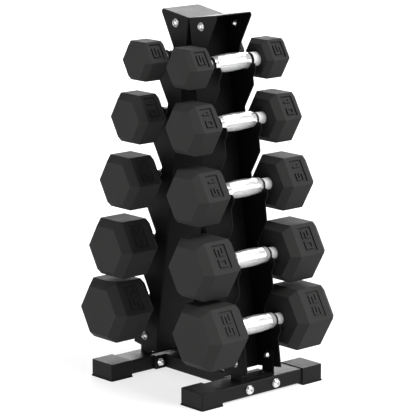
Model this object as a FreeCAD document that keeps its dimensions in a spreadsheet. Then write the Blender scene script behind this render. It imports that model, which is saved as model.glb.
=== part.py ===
import FreeCAD, Part
import math
import os
import Sketcher

# A-frame dumbbell rack with five tiers on each side, and the ten hexagonal dumbbells that it carries.
# X runs along the dumbbell handles and the two base tubes, Y from the front to the rear, Z up.
# The origin lies on the floor, under the middle of the rack. All lengths are in millimetres.
# The rear half is modelled, and the front half is its mirror image across the plane Y = 0.

SIZES = [
    # The two folded panels, measured from the ridge where their webs meet. Each web's foot ends
    # this far above the floor, and this far inwards of its base tube's middle.
    ("ridge_height", 636), ("panel_foot_height", 34.52), ("panel_foot_setback", 28.88),
    ("panel_width", 80), ("panel_sheet", 2), ("flange_depth", 59), ("bend_radius", 2.5),
    ("wing_top", 66.5), ("wing_depth", 70), ("wing_drop", 5),
    # The hooks: depths from the web's inner face, rises and drops from the handle's axis.
    ("handle_out", 45), ("handle_clearance", 0.3), ("throat_rise", 22), ("slant_rise", 58),
    ("prong_drop", 5), ("prong_reach", 67.5), ("prong_side_drop", 17), ("prong_foot_drop", 29),
    ("prong_tip_radius", 3.5), ("prong_nose_radius", 5), ("hook_corner_radius", 4),
    # Distance of each tier's handle axis down the panel.
    ("tier_one", 81), ("tier_two", 181.5), ("tier_three", 294.5), ("tier_four", 413.5), ("tier_five", 527.5),
    # Each weight's hexagonal head: corner radius, its two widest edges along X, and its rubber coat.
    ("head_radius_one", 38.6), ("head_radius_two", 48.6), ("head_radius_three", 52.5),
    ("head_radius_four", 57.5), ("head_radius_five", 61.5),
    ("head_inner_one", 69.5), ("head_inner_two", 73.5), ("head_inner_three", 73.5),
    ("head_inner_four", 72), ("head_inner_five", 72),
    ("head_outer_one", 104), ("head_outer_two", 110), ("head_outer_three", 119),
    ("head_outer_four", 125.5), ("head_outer_five", 128),
    ("coat_one", 7), ("coat_two", 3.5), ("coat_three", 3), ("coat_four", 3), ("coat_five", 2.5),
    ("bevel_run_share", 0.25), ("end_face_share", 0.77), ("hub_recess_radius", 21), ("hub_recess_depth", 2),
    # The chromed handle's radii. Its land runs from inside each flange to just past it.
    ("handle_radius", 13.5), ("grip_swell", 2), ("land_inset", 7), ("land_overrun", 0.5),
    ("groove_radius", 9.5), ("groove_width", 5.5), ("stub_radius", 9.5),
    ("collar_radius_one", 12.6), ("collar_radius_two", 10.6), ("collar_radius_three", 10.6),
    ("collar_radius_four", 10.6), ("collar_radius_five", 10.6),
    ("stub_setback", 12), ("press_clearance", 0.05),
    # The folded cap that ties both panels together at the ridge.
    ("cap_depth", 66), ("cap_sheet", 2), ("cap_ear_start", 10), ("cap_ear_end", 50), ("cap_ear_drop", 32),
    ("cap_bolt_depth", 30), ("cap_bolt_drop", 16.5),
    # The base: two tubes along X, the crossbar between them, and four rubber boots.
    ("tube_spacing", 235.4), ("tube_width", 50), ("tube_height", 25), ("tube_wall", 2), ("tube_corner", 3),
    ("tube_half_length", 136.5), ("sole_thickness", 3.5), ("boot_wall", 2.5), ("boot_top_wall", 1.5),
    ("boot_end_wall", 3), ("boot_length", 46.5), ("boot_corner", 3), ("boot_lip", 1.5), ("boot_lip_height", 2),
    ("crossbar_width", 38), ("end_plate_length", 84), ("end_plate_thickness", 4), ("base_bolt_spread", 30.7),
    # The U-shaped foot brackets.
    ("bracket_depth", 27), ("bracket_sheet", 2.5), ("bracket_ear_height", 44), ("bracket_corner", 7),
    ("foot_bolt_rise", 31), ("bracket_screw_spread", 22),
    # Fasteners.
    ("small_shank", 3), ("small_head", 5.75), ("small_head_height", 3.6), ("small_washer", 7),
    ("small_washer_thickness", 1.2), ("small_nut_flat", 5), ("small_nut_height", 5), ("thread_end", 1.5),
    ("large_shank", 4), ("large_head", 6.75), ("large_head_height", 4.6), ("large_washer", 8),
    ("large_washer_thickness", 1.6), ("large_nut_flat", 6.5), ("large_nut_height", 6.5),
    ("hole_clearance", 0.25), ("thread_clearance", 0.03), ("rivet_nut_radius", 4.5), ("rivet_nut_length", 10),
    # How far a hole's or slot's cutter runs past the faces that it opens.
    ("cut_margin", 5),
]

# Sizes that follow from the ones above: the panels' lean and length, and the handle's steps.
DERIVED = [
    ("panel_lean", "atan((tube_spacing / 2 - panel_foot_setback) / (ridge_height - panel_foot_height))"),
    ("panel_length", "(ridge_height - panel_foot_height) / cos(panel_lean)"),
    ("grip_land_start", "panel_width / 2 - land_inset"), ("grip_end", "panel_width / 2 + land_overrun"),
    ("groove_end", "grip_end + groove_width"),
]

WEIGHTS = [("one", "5lb"), ("two", "10lb"), ("three", "15lb"), ("four", "20lb"), ("five", "25lb")]
# A bolt's domed head, each point in shares of the head's height and radius.
HEAD_DOME = [("0.45", "0.94"), ("0.8", "0.68"), ("1", "0.3")]
X_AXIS = FreeCAD.Vector(1, 0, 0)
Y_AXIS = FreeCAD.Vector(0, 1, 0)

doc = FreeCAD.newDocument("dumbbell_rack")
sheet = doc.addObject("Spreadsheet::Sheet", "Sizes")
for row, (alias, number) in enumerate(SIZES + DERIVED, start=1):
    sheet.set("A%d" % row, alias.replace("_", " "))
    sheet.set("B%d" % row, "=%s" % number)
    sheet.setAlias("B%d" % row, alias)
doc.recompute()

finished = []


def named(text):
    """Writes each size's name in an expression as a reference to the sheet."""
    words = []
    word = ""
    for letter in text + " ":
        if letter.isalnum() or letter == "_":
            word += letter
            continue
        words.append("Sizes." + word if "_" in word else word)
        words.append(letter)
        word = ""
    return "".join(words).strip()


def value(text):
    """The number that an expression on the sheet's sizes comes to."""
    result = sheet.evalExpression(named(text))
    return float(getattr(result, "Value", result))


def bind(thing, prop, text):
    thing.setExpression(prop, named(text))


def new_body(label):
    body = doc.addObject("PartDesign::Body", label)
    body.Label = label
    return body


def new_sketch(body, name, plane="YZ_Plane", offset=None):
    """A sketch on one of the body's own origin planes, moved along that plane's normal by offset."""
    sketch = body.newObject("Sketcher::SketchObject", name)
    support = [datum for datum in body.Origin.OriginFeatures if datum.Role == plane][0]
    sketch.AttachmentSupport = (support, "")
    sketch.MapMode = "FlatFace"
    if offset:
        bind(sketch, "AttachmentOffset.Base.z", offset)
    return sketch


def place_point(sketch, edge, end, across, up):
    """Holds one end of an edge at two expressions measured from the sketch's origin."""
    for kind, text in (("DistanceX", across), ("DistanceY", up)):
        index = sketch.addConstraint(Sketcher.Constraint(kind, -1, 1, edge, end, value(text)))
        bind(sketch, "Constraints[%d]" % index, text)


def draw_outline(sketch, corners):
    """Draws a closed outline of straight edges through corners, each a pair of expressions."""
    points = [FreeCAD.Vector(value(across), value(up), 0) for across, up in corners]
    first = sketch.GeometryCount
    count = len(points)
    for index, point in enumerate(points):
        sketch.addGeometry(Part.LineSegment(point, points[(index + 1) % count]), False)
    for index in range(count):
        follower = first + (index + 1) % count
        sketch.addConstraint(Sketcher.Constraint("Coincident", first + index, 2, follower, 1))
    for index, (across, up) in enumerate(corners):
        place_point(sketch, first + index, 1, across, up)


def draw_circle(sketch, across, up, radius):
    centre = FreeCAD.Vector(value(across), value(up), 0)
    circle = Part.Circle(centre, FreeCAD.Vector(0, 0, 1), value(radius))
    edge = sketch.addGeometry(circle, False)
    place_point(sketch, edge, 3, across, up)
    index = sketch.addConstraint(Sketcher.Constraint("Radius", edge, value(radius)))
    bind(sketch, "Constraints[%d]" % index, radius)


def rectangle(left, right, low, high):
    return [(left, low), (right, low), (right, high), (left, high)]


def extrude(body, kind, name, sketch, length, midplane=True, reverse=False):
    """A pad or pocket of a sketch, through its plane's both sides unless midplane is off."""
    feature = body.newObject("PartDesign::" + kind, name)
    feature.Profile = sketch
    feature.Midplane = midplane
    feature.Reversed = reverse
    bind(feature, "Length", length)
    doc.recompute()
    return feature


def round_edges(body, name, radius, wanted):
    """Rounds the edges of the body's tip whose middle point passes the test wanted."""
    base = body.Tip
    edges = []
    for index, edge in enumerate(base.Shape.Edges, start=1):
        middle = edge.valueAt((edge.FirstParameter + edge.LastParameter) / 2)
        if wanted(edge, middle):
            edges.append("Edge%d" % index)
    if not edges:
        raise ValueError("no edge to round in " + name)
    feature = body.newObject("PartDesign::Fillet", name)
    feature.Base = (base, edges)
    bind(feature, "Radius", radius)
    doc.recompute()


def along(edge, axis):
    """True for a straight edge parallel to axis."""
    if not isinstance(edge.Curve, Part.Line):
        return False
    return abs(abs(edge.Curve.Direction.dot(axis)) - 1) < 1e-6


def at_corners(corners):
    """A test for edges along X that pass through one of the given corners of a YZ outline."""
    points = [(value(across), value(up)) for across, up in corners]

    def wanted(edge, middle):
        near = [1 for y, z in points if math.hypot(middle.y - y, middle.z - z) < 0.05]
        return along(edge, X_AXIS) and bool(near)

    return wanted


def revolve(body, name, sketch, axis):
    feature = body.newObject("PartDesign::Revolution", name)
    feature.Profile = sketch
    feature.ReferenceAxis = (sketch, [axis])
    feature.Angle = 360
    doc.recompute()
    return feature


def mirrored(source, name, axis):
    mirror = doc.addObject("Part::Mirroring", name)
    mirror.Label = name
    mirror.Source = source
    mirror.Normal = axis
    return mirror


def grouped(name, members):
    group = doc.addObject("Part::Compound", name)
    group.Label = name
    group.Links = members
    return group


def keep(piece):
    finished.append(piece)
    return piece


def keep_front_and_rear(rear, stem):
    """Keeps a rear piece under its own name and its mirror image as the front piece."""
    rear.Label = "rear_" + stem
    keep(rear)
    keep(mirrored(rear, "front_" + stem, Y_AXIS))


def keep_on_both_sides(piece, label):
    """Keeps a piece and its copies mirrored across X and Y as one node of four solids."""
    pair = grouped(label + "_pair", [piece, mirrored(piece, label + "_left", X_AXIS)])
    keep(grouped(label, [pair, mirrored(pair, label + "_front", Y_AXIS)]))


def lean_back(thing):
    """Places a piece drawn from the ridge, with Z up along the web and Y out from it."""
    thing.Placement = FreeCAD.Placement(FreeCAD.Vector(), FreeCAD.Rotation(X_AXIS, value("panel_lean")))
    bind(thing, "Placement.Base.z", "ridge_height")
    bind(thing, "Placement.Rotation.Angle", "panel_lean")


def hook_corners(tier):
    """The flange's edge at one tier, from the slant above the hook to the foot of its prong."""
    seat = "(handle_radius + handle_clearance)"
    drop = "tier_" + tier
    prong_inner = "handle_out + sqrt(%s^2 - prong_drop^2)" % seat
    return [
        ("flange_depth", "slant_rise - " + drop),
        ("handle_out - " + seat, "throat_rise - " + drop),
        ("handle_out - " + seat, "-" + drop),
        (prong_inner, "-prong_drop - " + drop),
        ("prong_reach", "-prong_drop - " + drop),
        ("prong_reach", "-prong_side_drop - " + drop),
        ("flange_depth", "-prong_foot_drop - " + drop),
    ]


def make_panel():
    """The rear panel: one folded sheet with a web, two hooked side flanges and the wings at its top."""
    body = new_body("rear_panel")
    hooks = {tier: hook_corners(tier) for tier, _ in WEIGHTS}
    outline = [("0 * panel_sheet", "0 * panel_sheet"), ("wing_top", "0 * panel_sheet"), ("wing_depth", "-wing_drop")]
    outline += hooks["one"][1:]
    for tier, _ in WEIGHTS[1:]:
        outline += hooks[tier]
    outline += [("flange_depth", "-panel_length"), ("0 * panel_sheet", "-panel_length")]
    sketch = new_sketch(body, "flange_outline")
    draw_outline(sketch, outline)
    extrude(body, "Pad", "folded_block", sketch, "panel_width")
    sketch = new_sketch(body, "seat_circles")
    for tier, _ in WEIGHTS:
        draw_circle(sketch, "handle_out", "-tier_" + tier, "handle_radius + handle_clearance")
    extrude(body, "Pocket", "handle_seats", sketch, "panel_width + cut_margin")
    corners = {key: [] for key in ("tip", "nose", "corner")}
    for tier, _ in WEIGHTS:
        slant, throat, _, tip, nose, side, foot = hooks[tier]
        corners["tip"].append(tip)
        corners["nose"].append(nose)
        corners["corner"] += [throat, side, foot] + ([slant] if tier != "one" else [])
    corners["corner"] += outline[1:3]
    round_edges(body, "prong_tips", "prong_tip_radius", at_corners(corners["tip"]))
    round_edges(body, "prong_noses", "prong_nose_radius", at_corners(corners["nose"]))
    round_edges(body, "hook_corners", "hook_corner_radius", at_corners(corners["corner"]))
    sketch = new_sketch(body, "channel")
    draw_outline(sketch, rectangle("panel_sheet", "2 * wing_depth", "-panel_length - 2 * cut_margin", "2 * cut_margin"))
    extrude(body, "Pocket", "between_flanges", sketch, "panel_width - 2 * panel_sheet")
    sketch = new_sketch(body, "cap_seat")
    draw_outline(sketch, rectangle("-panel_sheet", "2 * panel_sheet", "-cap_sheet", "2 * cut_margin"))
    extrude(body, "Pocket", "web_top_cut", sketch, "panel_width - 2 * panel_sheet")
    half = value("panel_width / 2")
    round_edges(
        body, "outer_bends", "bend_radius",
        lambda edge, middle: edge.Length > half and abs(abs(middle.x) - half) < 0.01 and abs(middle.y) < 0.01,
    )
    sketch = new_sketch(body, "bolt_holes")
    for across, up in (("cap_bolt_depth", "-cap_bolt_drop"), (foot_bolt_depth(), foot_bolt_level())):
        draw_circle(sketch, across, up, "small_shank + hole_clearance")
    extrude(body, "Pocket", "bolt_hole_cut", sketch, "panel_width + cut_margin")
    lean_back(body)
    keep_front_and_rear(body, "panel")


def foot_bolt_height():
    return "(sole_thickness + tube_height + foot_bolt_rise)"


def foot_bolt_depth():
    """How far the foot bolt lies out from the web."""
    return "cos(panel_lean) * tube_spacing / 2 + sin(panel_lean) * (%s - ridge_height)" % foot_bolt_height()


def foot_bolt_level():
    """The foot bolt's place along the web, which is negative below the ridge."""
    return "cos(panel_lean) * (%s - ridge_height) - sin(panel_lean) * tube_spacing / 2" % foot_bolt_height()


def make_cap():
    """The cap: one plate folded along the ridge, with an ear inside each side flange."""
    body = new_body("cap_rear_half")
    sketch = new_sketch(body, "cap_half_plate")
    draw_outline(sketch, [
        ("0 * cap_sheet", "0 * cap_sheet"), ("cap_depth", "0 * cap_sheet"), ("cap_depth", "-cap_sheet"),
        ("cap_sheet * tan(panel_lean)", "-cap_sheet"),
    ])
    inner_width = "panel_width - 2 * panel_sheet"
    extrude(body, "Pad", "cap_half_pad", sketch, inner_width)
    sketch = new_sketch(body, "cap_ears")
    taper = "cap_ear_end - (cap_ear_drop - cap_sheet) / 2"
    draw_outline(sketch, [
        ("cap_ear_start", "-cap_sheet"), ("cap_ear_end", "-cap_sheet"), (taper, "-cap_ear_drop"),
        ("cap_ear_start", "-cap_ear_drop"),
    ])
    extrude(body, "Pad", "cap_ear_block", sketch, inner_width)
    sketch = new_sketch(body, "cap_ear_gap")
    draw_outline(sketch, rectangle("-cap_depth", "2 * cap_depth", "-2 * cap_ear_drop", "-cap_sheet"))
    extrude(body, "Pocket", "cap_ear_gap_cut", sketch, inner_width + " - 2 * cap_sheet")
    sketch = new_sketch(body, "cap_bolt_holes")
    draw_circle(sketch, "cap_bolt_depth", "-cap_bolt_drop", "small_shank + hole_clearance")
    extrude(body, "Pocket", "cap_bolt_cut", sketch, "panel_width")
    lean_back(body)
    cap = doc.addObject("Part::MultiFuse", "top_cap")
    cap.Label = "top_cap"
    cap.Shapes = [body, mirrored(body, "cap_front_half", Y_AXIS)]
    cap.Refine = True
    keep(cap)


def make_foot_bracket():
    """The rear foot bracket: a plate on the base tube with an upright ear at each end."""
    body = new_body("rear_foot_bracket")
    left = "tube_spacing / 2 - bracket_depth / 2"
    right = "tube_spacing / 2 + bracket_depth / 2"
    floor = "sole_thickness + tube_height"
    top = floor + " + bracket_ear_height"
    sketch = new_sketch(body, "ear_outline")
    draw_outline(sketch, rectangle(left, right, floor, top))
    inner_width = "panel_width - 2 * panel_sheet"
    extrude(body, "Pad", "bracket_block", sketch, inner_width)
    round_edges(body, "ear_corners", "bracket_corner", at_corners([(left, top), (right, top)]))
    sketch = new_sketch(body, "between_ears")
    draw_outline(sketch, rectangle(
        left + " - cut_margin", right + " + cut_margin", floor + " + bracket_sheet", top + " + cut_margin",
    ))
    extrude(body, "Pocket", "between_ears_cut", sketch, inner_width + " - 2 * bracket_sheet")
    sketch = new_sketch(body, "foot_bolt_hole")
    draw_circle(sketch, "tube_spacing / 2", foot_bolt_height(), "small_shank + hole_clearance")
    extrude(body, "Pocket", "foot_bolt_cut", sketch, "panel_width")
    sketch = new_sketch(body, "bracket_screw_holes", "XY_Plane", floor)
    for sign in ("", "-"):
        draw_circle(sketch, sign + "bracket_screw_spread", "tube_spacing / 2", "small_shank + hole_clearance")
    extrude(body, "Pocket", "bracket_screw_cut", sketch, "2 * cut_margin")
    keep_front_and_rear(body, "foot_bracket")


def make_base_tube():
    """The rear base tube, with holes for the crossbar's bolts and the bracket's rivet nuts."""
    body = new_body("rear_base_tube")
    half_width = "tube_width / 2"
    for kind, name, inset in (("Pad", "tube_outside", "0 * tube_wall"), ("Pocket", "tube_inside", "tube_wall")):
        sketch = new_sketch(body, name)
        draw_outline(sketch, rectangle(
            "tube_spacing / 2 - %s + %s" % (half_width, inset), "tube_spacing / 2 + %s - %s" % (half_width, inset),
            "sole_thickness + " + inset, "sole_thickness + tube_height - " + inset,
        ))
        extrude(body, kind, name + "_" + kind.lower(), sketch, "2 * tube_half_length + 2 * (%s)" % inset)
        if kind == "Pad":
            round_edges(body, "tube_corners", "tube_corner", lambda edge, middle: along(edge, X_AXIS))
    sketch = new_sketch(body, "crossbar_bolt_holes", "XZ_Plane", "-tube_spacing / 2")
    for sign in ("", "-"):
        draw_circle(sketch, sign + "base_bolt_spread", base_bolt_height(), "large_shank + hole_clearance")
    extrude(body, "Pocket", "crossbar_bolt_cut", sketch, "tube_width + cut_margin")
    sketch = new_sketch(body, "rivet_nut_holes", "XY_Plane", "sole_thickness + tube_height")
    for sign in ("", "-"):
        draw_circle(sketch, sign + "bracket_screw_spread", "tube_spacing / 2", "rivet_nut_radius")
    extrude(body, "Pocket", "rivet_nut_cut", sketch, "2 * cut_margin")
    keep_front_and_rear(body, "base_tube")


def base_bolt_height():
    return "sole_thickness + tube_height / 2"


def plate_face():
    """Y of the face where an end plate meets its base tube."""
    return "(tube_spacing / 2 - tube_width / 2)"


def make_crossbar():
    """The tube that joins the two base tubes, and the drilled plate welded on each of its ends."""
    body = new_body("crossbar")
    for kind, name, inset in (("Pad", "bar_outside", "0 * tube_wall"), ("Pocket", "bar_inside", "tube_wall")):
        sketch = new_sketch(body, name, "XZ_Plane")
        draw_outline(sketch, rectangle(
            "-crossbar_width / 2 + " + inset, "crossbar_width / 2 - " + inset,
            "sole_thickness + " + inset, "sole_thickness + tube_height - " + inset,
        ))
        extrude(body, kind, name + "_" + kind.lower(), sketch, "2 * %s - 2 * end_plate_thickness" % plate_face())
        if kind == "Pad":
            round_edges(body, "bar_corners", "tube_corner", lambda edge, middle: along(edge, Y_AXIS))
    keep(body)
    body = new_body("rear_end_plate")
    sketch = new_sketch(body, "plate_outline", "XZ_Plane", "-%s + end_plate_thickness" % plate_face())
    draw_outline(sketch, rectangle(
        "-end_plate_length / 2", "end_plate_length / 2", "sole_thickness", "sole_thickness + tube_height",
    ))
    extrude(body, "Pad", "plate", sketch, "end_plate_thickness", midplane=False, reverse=True)
    round_edges(body, "plate_corners", "tube_corner", lambda edge, middle: along(edge, Y_AXIS))
    sketch = new_sketch(body, "plate_holes", "XZ_Plane", "-" + plate_face())
    for sign in ("", "-"):
        draw_circle(sketch, sign + "base_bolt_spread", base_bolt_height(), "large_shank + hole_clearance")
    extrude(body, "Pocket", "plate_hole_cut", sketch, "2 * end_plate_thickness + cut_margin")
    keep(grouped("crossbar_end_plates", [body, mirrored(body, "front_end_plate", Y_AXIS)]))


def make_boots():
    """The rubber boot on the rear right tube end, and its mirror images on the other three."""
    body = new_body("rear_right_boot")
    end = "tube_half_length + boot_end_wall"
    half = "(tube_width / 2 + boot_wall)"
    middle = "tube_spacing / 2"
    layers = (
        ("boot_shell", "0 * boot_lip", "sole_thickness + tube_height + boot_top_wall"),
        ("boot_lip", "boot_lip", "boot_lip_height"),
    )
    for name, spread, height in layers:
        sketch = new_sketch(body, name, "XY_Plane")
        draw_outline(sketch, rectangle(
            end + " - boot_length", end + " + " + spread,
            "%s - %s - %s" % (middle, half, spread), "%s + %s + %s" % (middle, half, spread),
        ))
        extrude(body, "Pad", name + "_pad", sketch, height, midplane=False)
    upright = FreeCAD.Vector(0, 0, 1)
    far = value(end + " - boot_length / 2")
    round_edges(
        body, "boot_corners", "boot_corner",
        lambda edge, point: along(edge, upright) and point.x > far and edge.Length > value("boot_lip"),
    )
    sketch = new_sketch(body, "tube_socket", "YZ_Plane", "tube_half_length - boot_length")
    draw_outline(sketch, rectangle(
        middle + " - tube_width / 2", middle + " + tube_width / 2",
        "sole_thickness", "sole_thickness + tube_height",
    ))
    extrude(body, "Pocket", "tube_socket_cut", sketch, "boot_length", midplane=False, reverse=True)
    left = mirrored(body, "rear_left_boot", X_AXIS)
    keep(body)
    keep(left)
    keep(mirrored(body, "front_right_boot", Y_AXIS))
    keep(mirrored(left, "front_left_boot", Y_AXIS))


def head_sizes(tier):
    """Expressions for one weight's head: corner radius and the X of its four sections."""
    radius = "head_radius_" + tier
    inner = "head_inner_" + tier
    outer = "head_outer_" + tier
    run = "bevel_run_share * " + radius
    stations = ["%s - %s" % (inner, run), inner, outer, "%s + %s" % (outer, run)]
    return radius, stations


def hexagon(radius):
    """Corners of a hexagon with a corner towards +Y and -Y and flats above and below."""
    rise = "(%s) * sqrt(3) / 2" % radius
    half = "(%s) / 2" % radius
    zero = "0 * (%s)" % radius
    return [
        (radius, zero), (half, rise), ("-(%s)" % half, rise),
        ("-(%s)" % radius, zero), ("-(%s)" % half, "-(%s)" % rise), (half, "-(%s)" % rise),
    ]


def hexagonal_loft(label, radii, stations):
    """A bevelled hexagonal block through four sections along X."""
    body = new_body(label)
    sections = []
    for index, (radius, station) in enumerate(zip(radii, stations)):
        sketch = new_sketch(body, "%s_section_%d" % (label, index + 1), "YZ_Plane", station)
        draw_outline(sketch, hexagon(radius))
        sections.append(sketch)
    loft = body.newObject("PartDesign::AdditiveLoft", label + "_loft")
    loft.Profile = sections[0]
    loft.Sections = sections[1:]
    loft.Ruled = True
    doc.recompute()
    return body


def bore(label, radius, start, length):
    """A cylinder along X, used to cut a round hole."""
    cylinder = doc.addObject("Part::Cylinder", label)
    cylinder.Placement = FreeCAD.Placement(FreeCAD.Vector(), FreeCAD.Rotation(Y_AXIS, 90))
    bind(cylinder, "Radius", radius)
    bind(cylinder, "Height", length)
    bind(cylinder, "Placement.Base.x", start)
    return cylinder


def cut(label, base, tool):
    piece = doc.addObject("Part::Cut", label)
    piece.Label = label
    piece.Base = base
    piece.Tool = tool
    doc.recompute()
    return piece


def make_heads(tier, weight):
    """The cast iron core and the rubber coat of one head, bored for the handle's stub."""
    radius, stations = head_sizes(tier)
    coat = "coat_" + tier
    radii = ["end_face_share * " + radius, radius, radius, "end_face_share * " + radius]
    core_radii = ["%s - %s * 2 / sqrt(3)" % (text, coat) for text in radii]
    core_stations = [stations[0] + " + " + coat, stations[1], stations[2], stations[3] + " - " + coat]
    stub_end = "head_outer_%s - stub_setback" % tier
    block = hexagonal_loft("head_block_" + weight, radii, stations)
    core_block = hexagonal_loft("core_block_" + weight, core_radii, core_stations)
    core_bore = bore("core_bore_" + weight, "stub_radius + press_clearance", "grip_end", stub_end + " - grip_end")
    core = cut("core_" + weight, core_block, core_bore)
    solid_core = hexagonal_loft("coat_hollow_" + weight, core_radii, core_stations)
    hollow_coat = cut("hollow_coat_" + weight, block, solid_core)
    collar_length = core_stations[0] + " - grip_end + press_clearance"
    collar_text = "collar_radius_%s + press_clearance" % tier
    collar_bore = bore("collar_bore_" + weight, collar_text, "grip_end", collar_length)
    hub = bore("hub_recess_" + weight, "hub_recess_radius", "grip_end", stations[0] + " - grip_end + hub_recess_depth")
    coat_piece = cut("coat_piece_" + weight, cut("bored_coat_" + weight, hollow_coat, collar_bore), hub)
    heads = grouped("heads_" + weight, [coat_piece, mirrored(coat_piece, "left_head_" + weight, X_AXIS)])
    cores = grouped("cores_" + weight, [core, mirrored(core, "left_core_" + weight, X_AXIS)])
    return heads, cores


def make_handle(tier, weight):
    """The chromed handle: a swelling grip, a land where it rests on the hooks, a groove and a collar."""
    body = new_body("handle_" + weight)
    sketch = new_sketch(body, "handle_profile_" + weight, "XZ_Plane")
    _, stations = head_sizes(tier)
    collar = "collar_radius_" + tier
    collar_end = "%s + coat_%s" % (stations[0], tier)
    stub_end = "head_outer_%s - stub_setback" % tier
    half = [
        ("grip_land_start", "handle_radius"), ("grip_end", "handle_radius"), ("grip_end", "groove_radius"),
        ("groove_end", "groove_radius"), ("groove_end", collar), (collar_end, collar),
        (collar_end, "stub_radius"), (stub_end, "stub_radius"), (stub_end, "0 * stub_radius"),
    ]
    swell = [("grip_land_start * %s" % share, "handle_radius + grip_swell * cos(90 * %s)" % share)
             for share in ("0.25", "0.5", "0.75")]
    right = [("0 * grip_end", "handle_radius + grip_swell")] + swell + half
    left = [("-(%s)" % across, up) for across, up in reversed(right[1:])]
    draw_outline(sketch, right + left)
    revolve(body, "handle_turned_" + weight, sketch, "H_Axis")
    return body


def seat_on_tier(source, tier, label):
    """Puts a dumbbell piece drawn about its own handle's axis on its rear tier."""
    piece = grouped(label, [source])
    bind(piece, "Placement.Base.y", "sin(panel_lean) * tier_%s + cos(panel_lean) * handle_out" % tier)
    drop = "ridge_height - cos(panel_lean) * tier_%s + sin(panel_lean) * handle_out" % tier
    bind(piece, "Placement.Base.z", drop)
    return piece


def make_dumbbells():
    for tier, weight in WEIGHTS:
        heads, cores = make_heads(tier, weight)
        handle = make_handle(tier, weight)
        for source, kind in ((handle, "handle"), (cores, "cores"), (heads, "heads")):
            stem = "%s_%s" % (weight, kind)
            keep_front_and_rear(seat_on_tier(source, tier, "rear_" + stem), stem)


def turned(label, profile):
    """A piece turned about the X axis from an outline of (X, radius) corners."""
    body = new_body(label)
    sketch = new_sketch(body, label + "_profile", "XZ_Plane")
    draw_outline(sketch, profile)
    revolve(body, label + "_turned", sketch, "H_Axis")
    return body


def bolt(label, size, grip):
    """A domed bolt along X: the underside of its head at X = 0 and its shank towards -X."""
    shank, head, height = size + "_shank", size + "_head", size + "_head_height"
    tail = "-(%s) - %s_nut_height - thread_end" % (grip, size)
    zero = "0 * " + shank
    dome = [("%s * %s" % (height, rise), "%s * %s" % (head, spread)) for rise, spread in HEAD_DOME]
    return turned(label, [(tail, zero), (tail, shank), (zero, shank), (zero, head)] + dome + [(height, zero)])


def washer(label, size):
    inner = size + "_shank + hole_clearance"
    thickness = size + "_washer_thickness"
    return turned(label, rectangle("-" + thickness, "0 * " + thickness, inner, size + "_washer"))


def nut(label, size):
    """A hexagonal nut along X whose seat is at X = 0 and whose body runs towards -X."""
    body = new_body(label)
    sketch = new_sketch(body, label + "_outline")
    draw_outline(sketch, hexagon("%s_nut_flat * 2 / sqrt(3)" % size))
    draw_circle(sketch, "0 * %s_shank" % size, "0 * %s_shank" % size, "%s_shank + thread_clearance" % size)
    extrude(body, "Pad", label + "_pad", sketch, "%s_nut_height" % size, midplane=False, reverse=True)
    return body


def put(piece, across=None, depth=None, height=None):
    """Places a piece drawn about its own axis at three expressions."""
    for axis, text in (("x", across), ("y", depth), ("z", height)):
        if text:
            bind(piece, "Placement.Base." + axis, text)
    return piece


def cap_bolt_place():
    depth = "sin(panel_lean) * cap_bolt_drop + cos(panel_lean) * cap_bolt_depth"
    height = "ridge_height - cos(panel_lean) * cap_bolt_drop + sin(panel_lean) * cap_bolt_depth"
    return depth, height


def make_panel_fasteners():
    """Bolts, washers and nuts that hold the panels to the cap's and the foot brackets' ears."""
    outer = "panel_width / 2"
    places = (
        ("cap", cap_bolt_place(), "panel_sheet + cap_sheet"),
        ("foot", ("tube_spacing / 2", foot_bolt_height()), "panel_sheet + bracket_sheet"),
    )
    for joint, (depth, height), stack in places:
        grip = stack + " + small_washer_thickness"
        head_seat = outer + " + small_washer_thickness"
        keep_on_both_sides(put(bolt(joint + "_bolt", "small", grip), head_seat, depth, height), joint + "_bolts")
        keep_on_both_sides(put(washer(joint + "_washer", "small"), head_seat, depth, height), joint + "_washers")
        nut_seat = "%s - (%s)" % (outer, stack)
        keep_on_both_sides(put(nut(joint + "_nut", "small"), nut_seat, depth, height), joint + "_nuts")


def turn_to(piece, axis, degrees):
    piece.Placement = FreeCAD.Placement(FreeCAD.Vector(), FreeCAD.Rotation(axis, degrees))
    return piece


def make_base_fasteners():
    """Bolts through each base tube into its end plate, and screws that hold the brackets down."""
    outward = FreeCAD.Vector(0, 0, 1)
    height = base_bolt_height()
    head_seat = "tube_spacing / 2 + tube_width / 2 + large_washer_thickness"
    grip = "tube_width + end_plate_thickness + large_washer_thickness"
    piece = turn_to(bolt("base_bolt", "large", grip), outward, 90)
    keep_on_both_sides(put(piece, "base_bolt_spread", head_seat, height), "base_bolts")
    piece = turn_to(washer("base_washer", "large"), outward, 90)
    keep_on_both_sides(put(piece, "base_bolt_spread", head_seat, height), "base_washers")
    piece = turn_to(nut("base_nut", "large"), outward, 90)
    keep_on_both_sides(put(piece, "base_bolt_spread", plate_face() + " - end_plate_thickness", height), "base_nuts")
    top = "sole_thickness + tube_height"
    piece = turn_to(bolt("bracket_screw", "small", "bracket_sheet"), Y_AXIS, -90)
    screw_seat = top + " + bracket_sheet"
    keep_on_both_sides(put(piece, "bracket_screw_spread", "tube_spacing / 2", screw_seat), "bracket_screws")
    sleeve = turned("rivet_nut", rectangle(
        "-rivet_nut_length", "0 * rivet_nut_length", "small_shank + thread_clearance", "rivet_nut_radius",
    ))
    piece = turn_to(sleeve, Y_AXIS, -90)
    keep_on_both_sides(put(piece, "bracket_screw_spread", "tube_spacing / 2", top), "rivet_nuts")


def check_document():
    """Stops with the names of every failed object and every null or invalid sub-part."""
    doc.recompute()
    faults = [thing.Name for thing in doc.Objects if "Invalid" in thing.State or "Error" in thing.State]
    for piece in finished:
        if piece.Shape.isNull() or not piece.Shape.isValid() or not piece.Shape.Solids:
            faults.append(piece.Label)
    labels = [piece.Label for piece in finished]
    faults += sorted({label for label in labels if labels.count(label) > 1})
    if faults:
        raise RuntimeError("not usable: " + ", ".join(faults))


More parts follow.
